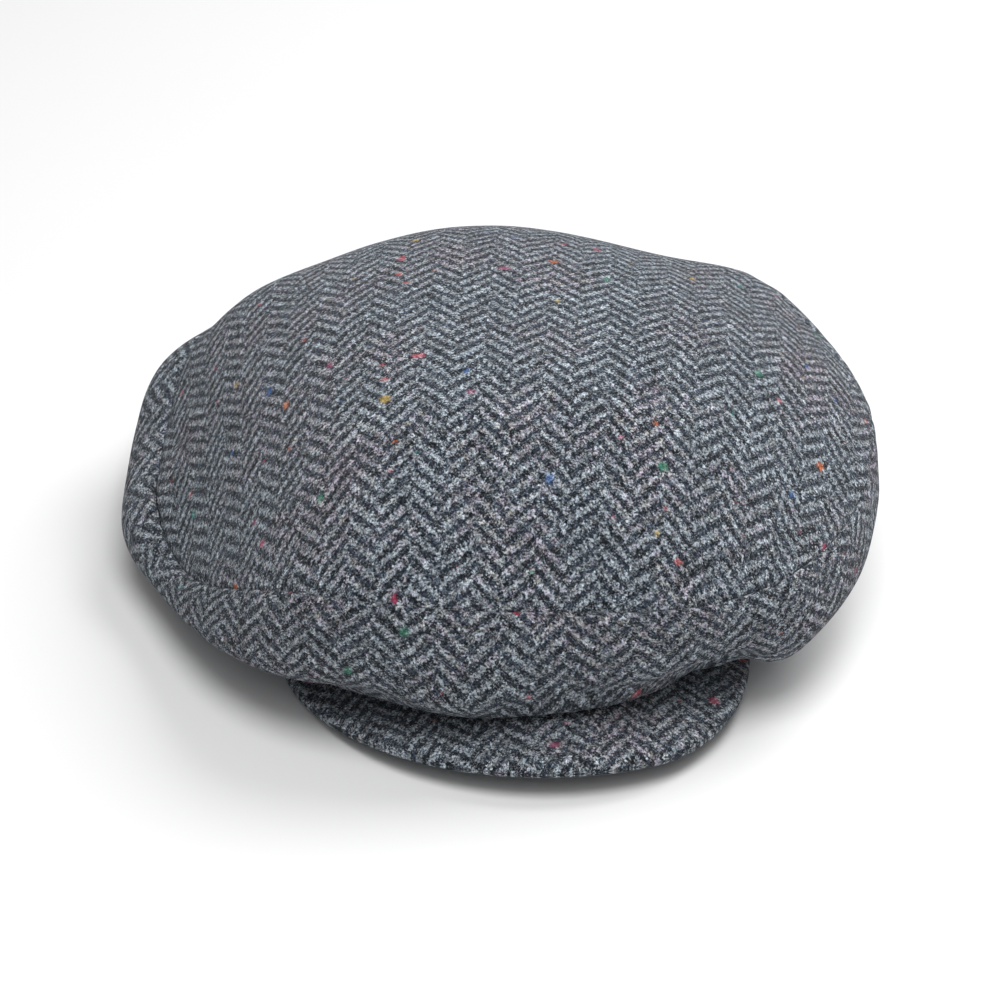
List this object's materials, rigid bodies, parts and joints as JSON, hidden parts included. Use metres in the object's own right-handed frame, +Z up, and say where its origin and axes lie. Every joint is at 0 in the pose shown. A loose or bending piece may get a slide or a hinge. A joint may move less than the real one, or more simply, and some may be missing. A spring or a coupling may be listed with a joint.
{
  "type": "newsboy cap",
  "caption": "Soft tweed cap with a one-piece oval top, a full side band that slumps to one side, a short stiffened peak, a satin lining and a sweatband.",
  "frame": {"origin": "middle of the cap's box, on the surface it rests on", "axes": "+Z up, -Y forwards out of the peak, +X to the right of someone who faces the peak"},
  "size_m": [0.2622, 0.2624, 0.113],
  "materials": {
    "tweed": "herringbone wool tweed, grey and charcoal with small coloured flecks, rough",
    "interlining": "thin fused canvas, dull",
    "lining": "satin lining, soft sheen",
    "sweatband": "ribbed cotton tape, matte",
    "woven_label": "woven satin label, blank",
    "board_plastic": "flexible sheet plastic, matte"
  },
  "bodies": {
    "crown": {"crown_top_panel": "tweed", "crown_side_band": "tweed", "top_interlining": "interlining", "band_interlining": "interlining", "lining_top": "lining", "lining_side_right": "lining", "lining_side_left": "lining", "sweatband": "sweatband", "sweatband_back_tape": "sweatband", "size_tab": "woven_label", "label": "woven_label"},
    "peak": {"peak_top_cover": "tweed", "peak_under_cover": "tweed", "peak_board": "board_plastic"}
  },
  "joints": [
    {"name": "peak_flex", "type": "hinge", "parent": "crown", "child": "peak", "pos_m": [0.0027, -0.0607, 0.014], "axis": [1, 0, 0], "range_deg": [-5, 6], "stiffness_Nm_per_rad": 0.6}
  ]
}
